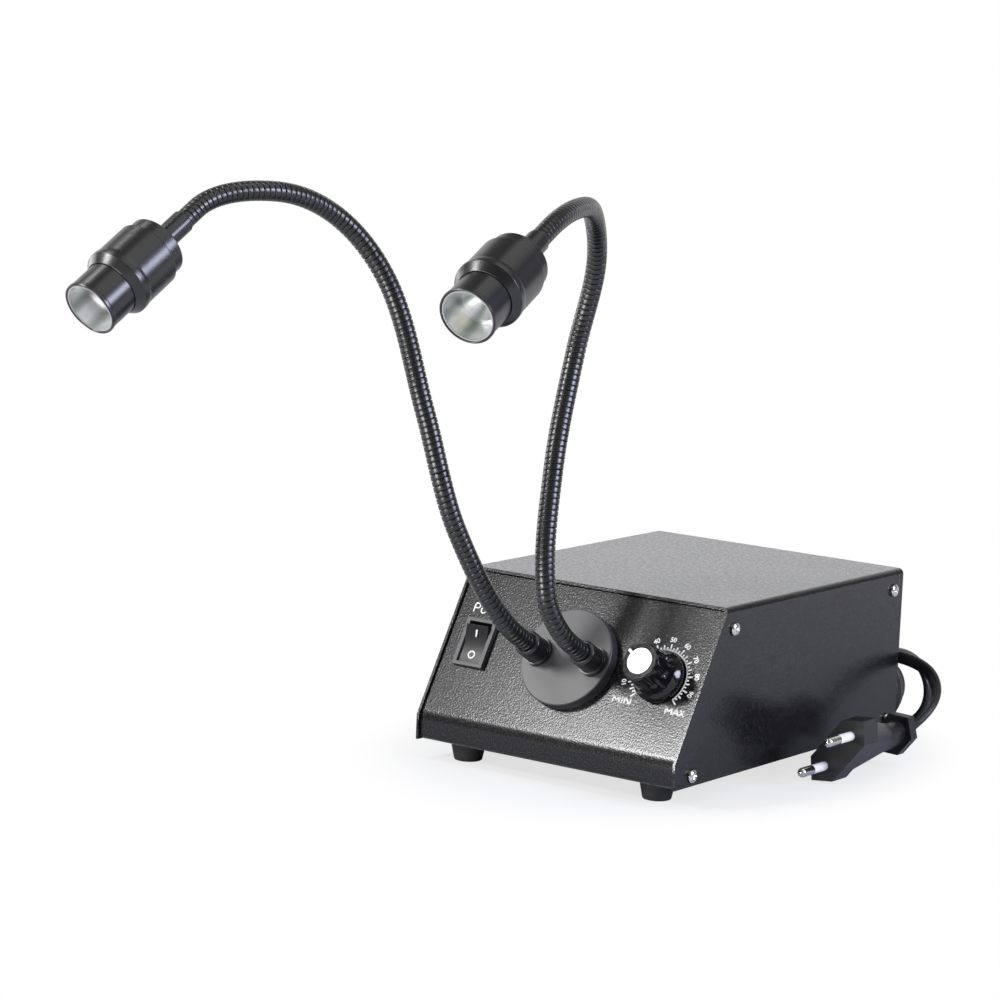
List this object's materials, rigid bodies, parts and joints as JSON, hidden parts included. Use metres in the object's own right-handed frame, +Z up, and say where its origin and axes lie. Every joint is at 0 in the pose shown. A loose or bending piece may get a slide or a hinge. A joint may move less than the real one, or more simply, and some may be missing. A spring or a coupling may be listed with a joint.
{
  "type": "dual gooseneck illuminator",
  "caption": "Bench lamp with flexible ribbed arms that each carry a small tubular lamp head, on a wedge-fronted steel supply with a rocker switch, a dimmer knob and a wound mains lead.",
  "frame": {"origin": "on the bench, under the middle of the case", "axes": "+X to the right across the control panel, -Y out of the front, +Z up"},
  "size_m": [0.2071, 0.3834, 0.2394],
  "materials": {
    "powder_coat": "textured black powder coat",
    "nickel": "bright nickel plate",
    "zinc": "bright zinc plate",
    "foot_rubber": "matt",
    "switch_plastic": "satin",
    "brass_blade": "tinned brass",
    "disc_plate": "satin black anodised",
    "black_anodised": "satin black anodised",
    "hose_steel": "black plated wound steel",
    "reflector": "bright",
    "lamp": "satin",
    "knob_plastic": "gloss",
    "board": "satin",
    "transformer": "satin",
    "pot_body": "satin",
    "cord_pvc": "satin",
    "plug_pvc": "satin",
    "pin_sleeve": "satin"
  },
  "bodies": {
    "case": {"case_chassis": "powder_coat", "case_cover": "powder_coat", "cover_screws": "nickel", "rubber_feet": "foot_rubber", "foot_screws": "zinc", "switch_housing": "switch_plastic", "switch_terminals": "brass_blade", "arm_disc": "disc_plate", "arm_ferrules": "black_anodised", "ferrule_nuts": "zinc", "left_hose_base": "hose_steel", "left_bend_low": "hose_steel", "right_hose_base": "hose_steel", "right_bend_low": "hose_steel", "dimmer_body": "pot_body", "dimmer_nut": "zinc", "power_board": "board", "power_transformer": "transformer", "board_standoffs": "zinc", "cord_gland": "cord_pvc", "cord_lead_in": "cord_pvc", "cord_hank": "cord_pvc", "cord_tail": "cord_pvc", "plug_body": "plug_pvc", "plug_pins": "nickel", "pin_sleeves": "pin_sleeve"},
    "rocker": {"switch_rocker": "switch_plastic"},
    "knob": {"dimmer_knob": "knob_plastic", "knob_cap": "nickel", "dimmer_shaft": "zinc"},
    "left_lower_arm": {"left_hose_lower": "hose_steel", "left_bend_mid": "hose_steel"},
    "left_upper_arm": {"left_hose_upper": "hose_steel", "left_bend_top": "hose_steel"},
    "left_head": {"left_hose_end": "hose_steel", "left_neck": "black_anodised", "left_rear_cap": "black_anodised", "left_barrel": "black_anodised", "left_snout": "black_anodised", "left_reflector": "reflector", "left_led": "lamp"},
    "right_lower_arm": {"right_hose_lower": "hose_steel", "right_bend_mid": "hose_steel"},
    "right_upper_arm": {"right_hose_upper": "hose_steel", "right_bend_top": "hose_steel"},
    "right_head": {"right_hose_end": "hose_steel", "right_neck": "black_anodised", "right_rear_cap": "black_anodised", "right_barrel": "black_anodised", "right_snout": "black_anodised", "right_reflector": "reflector", "right_led": "lamp"}
  },
  "joints": [
    {"name": "left_low_bend", "type": "hinge", "parent": "case", "child": "left_lower_arm", "pos_m": [-0.01951, -0.1072, 0.08341], "axis": [0.9568, -0.1165, 0.2665], "range_deg": [-30, 35], "deforming": ["left_bend_low"]},
    {"name": "left_mid_bend", "type": "hinge", "parent": "left_lower_arm", "child": "left_upper_arm", "pos_m": [-0.04564, -0.12062, 0.16686], "axis": [0.0062, 0.9998, -0.0171], "range_deg": [-40, 40], "deforming": ["left_bend_mid"]},
    {"name": "left_top_bend", "type": "hinge", "parent": "left_upper_arm", "child": "left_head", "pos_m": [-0.07892, -0.16198, 0.23441], "axis": [0.9648, -0.2631, 0], "range_deg": [-40, 45], "deforming": ["left_bend_top"]},
    {"name": "right_low_bend", "type": "hinge", "parent": "case", "child": "right_lower_arm", "pos_m": [0.00876, -0.10125, 0.08536], "axis": [0.9883, 0.0081, 0.1526], "range_deg": [-30, 35], "deforming": ["right_bend_low"]},
    {"name": "right_mid_bend", "type": "hinge", "parent": "right_lower_arm", "child": "right_upper_arm", "pos_m": [-0.00242, -0.07366, 0.16736], "axis": [0.0134, 0.9403, -0.3401], "range_deg": [-40, 40], "deforming": ["right_bend_mid"]},
    {"name": "right_top_bend", "type": "hinge", "parent": "right_upper_arm", "child": "right_head", "pos_m": [0.02335, -0.10612, 0.23494], "axis": [0.9343, 0.3564, 0], "range_deg": [-40, 45], "deforming": ["right_bend_top"]},
    {"name": "switch_rock", "type": "hinge", "parent": "case", "child": "rocker", "pos_m": [-0.048, -0.06598, 0.04678], "axis": [-1, 0, 0], "range_deg": [0, 22]},
    {"name": "dimmer_turn", "type": "hinge", "parent": "case", "child": "knob", "pos_m": [0.0432, -0.06771, 0.04778], "axis": [0, -0.866, 0.5], "range_deg": [-190.8, 74.2]}
  ]
}
